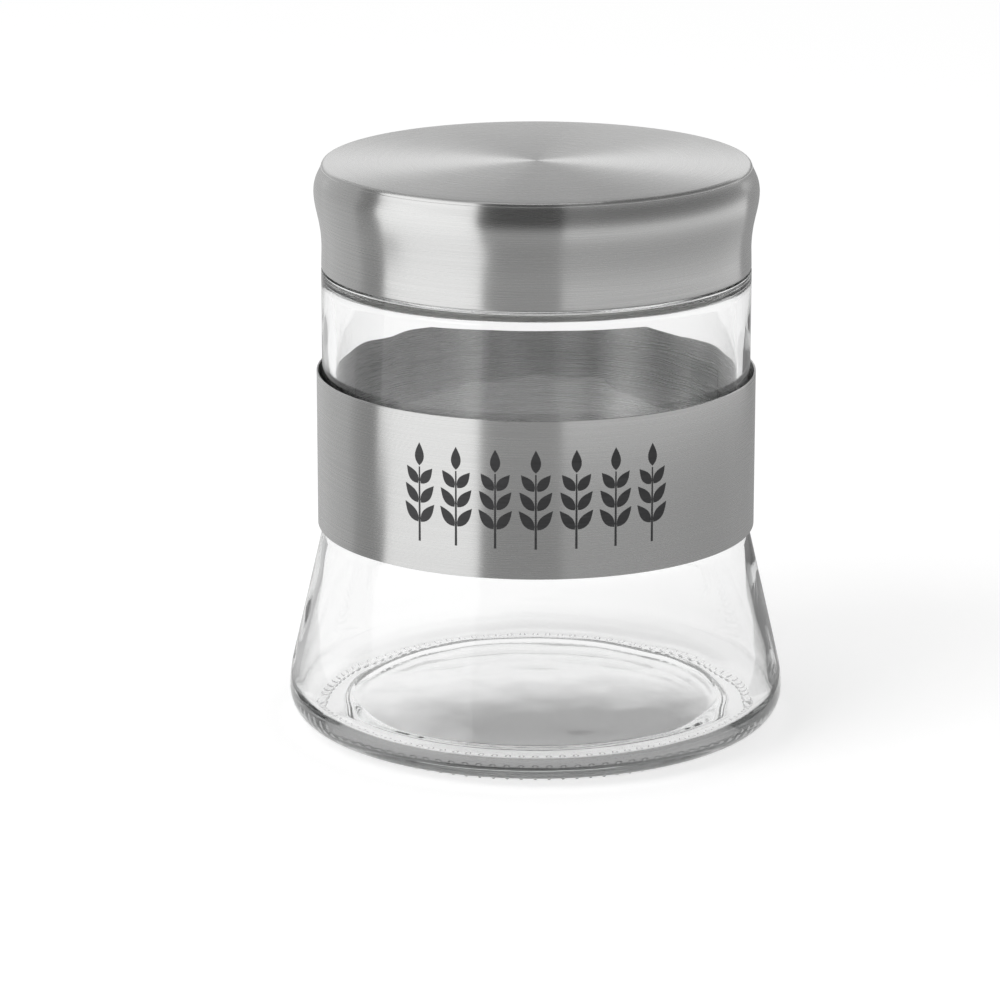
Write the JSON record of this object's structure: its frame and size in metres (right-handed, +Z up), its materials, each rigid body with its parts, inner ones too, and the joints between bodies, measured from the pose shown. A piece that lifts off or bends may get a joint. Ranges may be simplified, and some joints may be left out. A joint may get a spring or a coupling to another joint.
{
  "type": "glass storage jar",
  "caption": "Round clear glass tea jar with a flared foot, a brushed steel band round its waist and a screw-on brushed steel lid with a plastic insert and a sealing ring.",
  "frame": {"origin": "centre of the circle of bumps that the jar stands on, at the surface it stands on", "axes": "+Z up along the jar's axis, -Y towards the front that the picture shows"},
  "size_m": [0.117, 0.117, 0.134],
  "materials": {
    "glass": "clear pressed glass, polished",
    "steel": "fine brushing round the axis, rings on the flat top",
    "tape": "clear acrylic tape",
    "insert": "satin white moulding",
    "seal": "translucent white silicone"
  },
  "bodies": {
    "jar": {"glass_jar": "glass", "steel_band": "steel", "band_tape_front": "tape", "band_tape_right": "tape", "band_tape_left": "tape"},
    "seal": {"lid_seal": "seal"},
    "lid": {"lid_shell": "steel", "lid_insert": "insert"}
  },
  "joints": [
    {"name": "lid_rise", "type": "slide", "parent": "jar", "child": "seal", "axis": [0, 0, 1], "range_m": [0, 0.04]},
    {"name": "lid_turn", "type": "hinge", "parent": "seal", "child": "lid", "pos_m": [0, 0, 0.1094], "axis": [0, 0, 1], "range_deg": [0, 600]}
  ],
  "couplings": [
    {"joint": "lid_rise", "follows": "lid_turn", "m_per_rad": 0.0038197}
  ]
}
